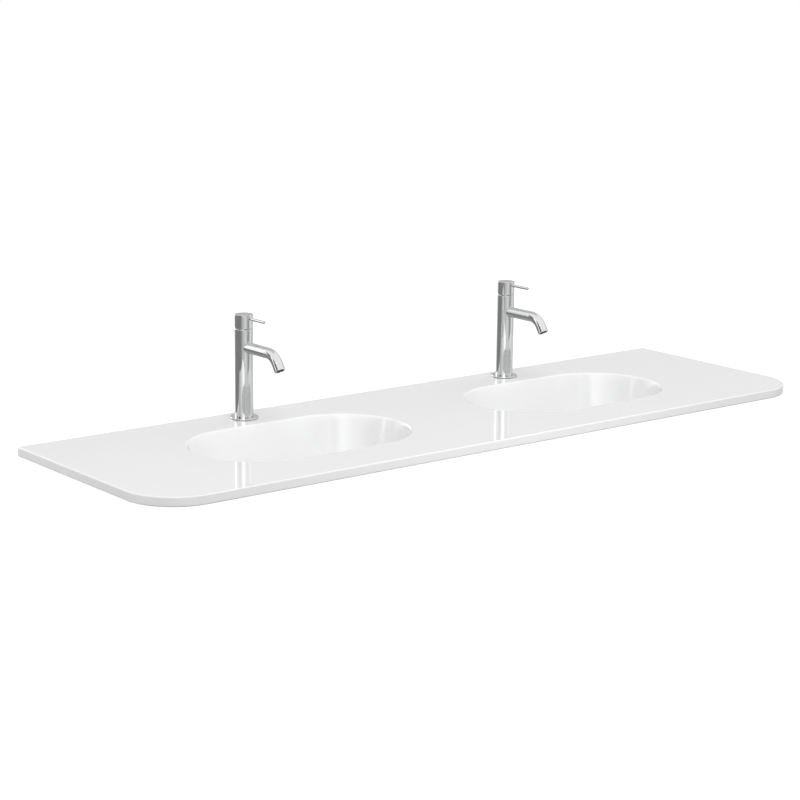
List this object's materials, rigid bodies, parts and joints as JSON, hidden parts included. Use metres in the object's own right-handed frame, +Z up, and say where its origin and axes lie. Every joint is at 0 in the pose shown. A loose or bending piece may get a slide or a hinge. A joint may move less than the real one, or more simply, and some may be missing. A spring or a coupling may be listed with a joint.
{
  "type": "double washbasin",
  "caption": "Long thin white basin top with rounded front corners and two oval bowls, each with a slim round single-lever tap, a bent tube spout and a push-open waste.",
  "frame": {"origin": "middle of the flat underside, between the two bowls", "axes": "+X along the top to the right of the person at the basin, +Y to the wall, +Z up"},
  "size_m": [1.5, 0.45, 0.364],
  "materials": {
    "glaze": "white, glossy",
    "chrome_plate": "polished",
    "black_rubber": "matt",
    "brass": "turned",
    "steel": "brushed",
    "white_plastic": "moulded",
    "dark_plastic": "moulded",
    "alumina": "lapped"
  },
  "bodies": {
    "basin": {"washbasin_top": "glaze", "fixing_studs": "brass", "stud_nuts": "brass", "cartridge_nuts": "brass", "waste_nuts": "brass", "left_base_gasket": "black_rubber", "left_base_ring": "chrome_plate", "left_tap_body": "chrome_plate", "left_spout": "chrome_plate", "left_aerator_ring": "chrome_plate", "left_aerator_insert": "dark_plastic", "left_cartridge_housing": "white_plastic", "left_fixed_disc": "alumina", "left_clamp_gasket": "black_rubber", "left_clamp_plate": "steel", "left_waste_gasket": "black_rubber", "left_waste_body": "chrome_plate", "left_waste_seal": "black_rubber", "left_click_mechanism": "white_plastic", "right_base_gasket": "black_rubber", "right_base_ring": "chrome_plate", "right_tap_body": "chrome_plate", "right_spout": "chrome_plate", "right_aerator_ring": "chrome_plate", "right_aerator_insert": "dark_plastic", "right_cartridge_housing": "white_plastic", "right_fixed_disc": "alumina", "right_clamp_gasket": "black_rubber", "right_clamp_plate": "steel", "right_waste_gasket": "black_rubber", "right_waste_body": "chrome_plate", "right_waste_seal": "black_rubber", "right_click_mechanism": "white_plastic"},
    "left_swivel": {"left_turret": "white_plastic", "left_pivot_pin": "steel"},
    "left_disc": {"left_moving_disc": "alumina", "left_disc_carrier": "dark_plastic"},
    "left_lever": {"left_handle": "chrome_plate", "left_lever_pin": "chrome_plate", "left_grub_screw": "steel", "left_stem": "steel"},
    "left_plug": {"left_plug": "chrome_plate", "left_plug_seal": "black_rubber", "left_plug_spindle": "brass"},
    "right_swivel": {"right_turret": "white_plastic", "right_pivot_pin": "steel"},
    "right_disc": {"right_moving_disc": "alumina", "right_disc_carrier": "dark_plastic"},
    "right_lever": {"right_handle": "chrome_plate", "right_lever_pin": "chrome_plate", "right_grub_screw": "steel", "right_stem": "steel"},
    "right_plug": {"right_plug": "chrome_plate", "right_plug_seal": "black_rubber", "right_plug_spindle": "brass"}
  },
  "joints": [
    {"name": "left_temperature", "type": "hinge", "parent": "basin", "child": "left_swivel", "pos_m": [-0.3135, 0.177, 0.183], "axis": [0, 0, 1], "range_deg": [-45, 45]},
    {"name": "left_lift", "type": "hinge", "parent": "left_swivel", "child": "left_lever", "pos_m": [-0.3135, 0.177, 0.183], "axis": [-1, 0, 0], "range_deg": [0, 14]},
    {"name": "left_disc_slide", "type": "slide", "parent": "left_swivel", "child": "left_disc", "axis": [0, -1, 0], "range_m": [0, 0.00265]},
    {"name": "left_plug_click", "type": "slide", "parent": "basin", "child": "left_plug", "axis": [0, 0, 1], "range_m": [0, 0.008]},
    {"name": "right_temperature", "type": "hinge", "parent": "basin", "child": "right_swivel", "pos_m": [0.3135, 0.177, 0.183], "axis": [0, 0, 1], "range_deg": [-45, 45]},
    {"name": "right_lift", "type": "hinge", "parent": "right_swivel", "child": "right_lever", "pos_m": [0.3135, 0.177, 0.183], "axis": [-1, 0, 0], "range_deg": [0, 14]},
    {"name": "right_disc_slide", "type": "slide", "parent": "right_swivel", "child": "right_disc", "axis": [0, -1, 0], "range_m": [0, 0.00265]},
    {"name": "right_plug_click", "type": "slide", "parent": "basin", "child": "right_plug", "axis": [0, 0, 1], "range_m": [0, 0.008]}
  ],
  "couplings": [
    {"joint": "left_disc_slide", "follows": "left_lift", "m_per_rad": 0.01073},
    {"joint": "right_disc_slide", "follows": "right_lift", "m_per_rad": 0.01073}
  ]
}
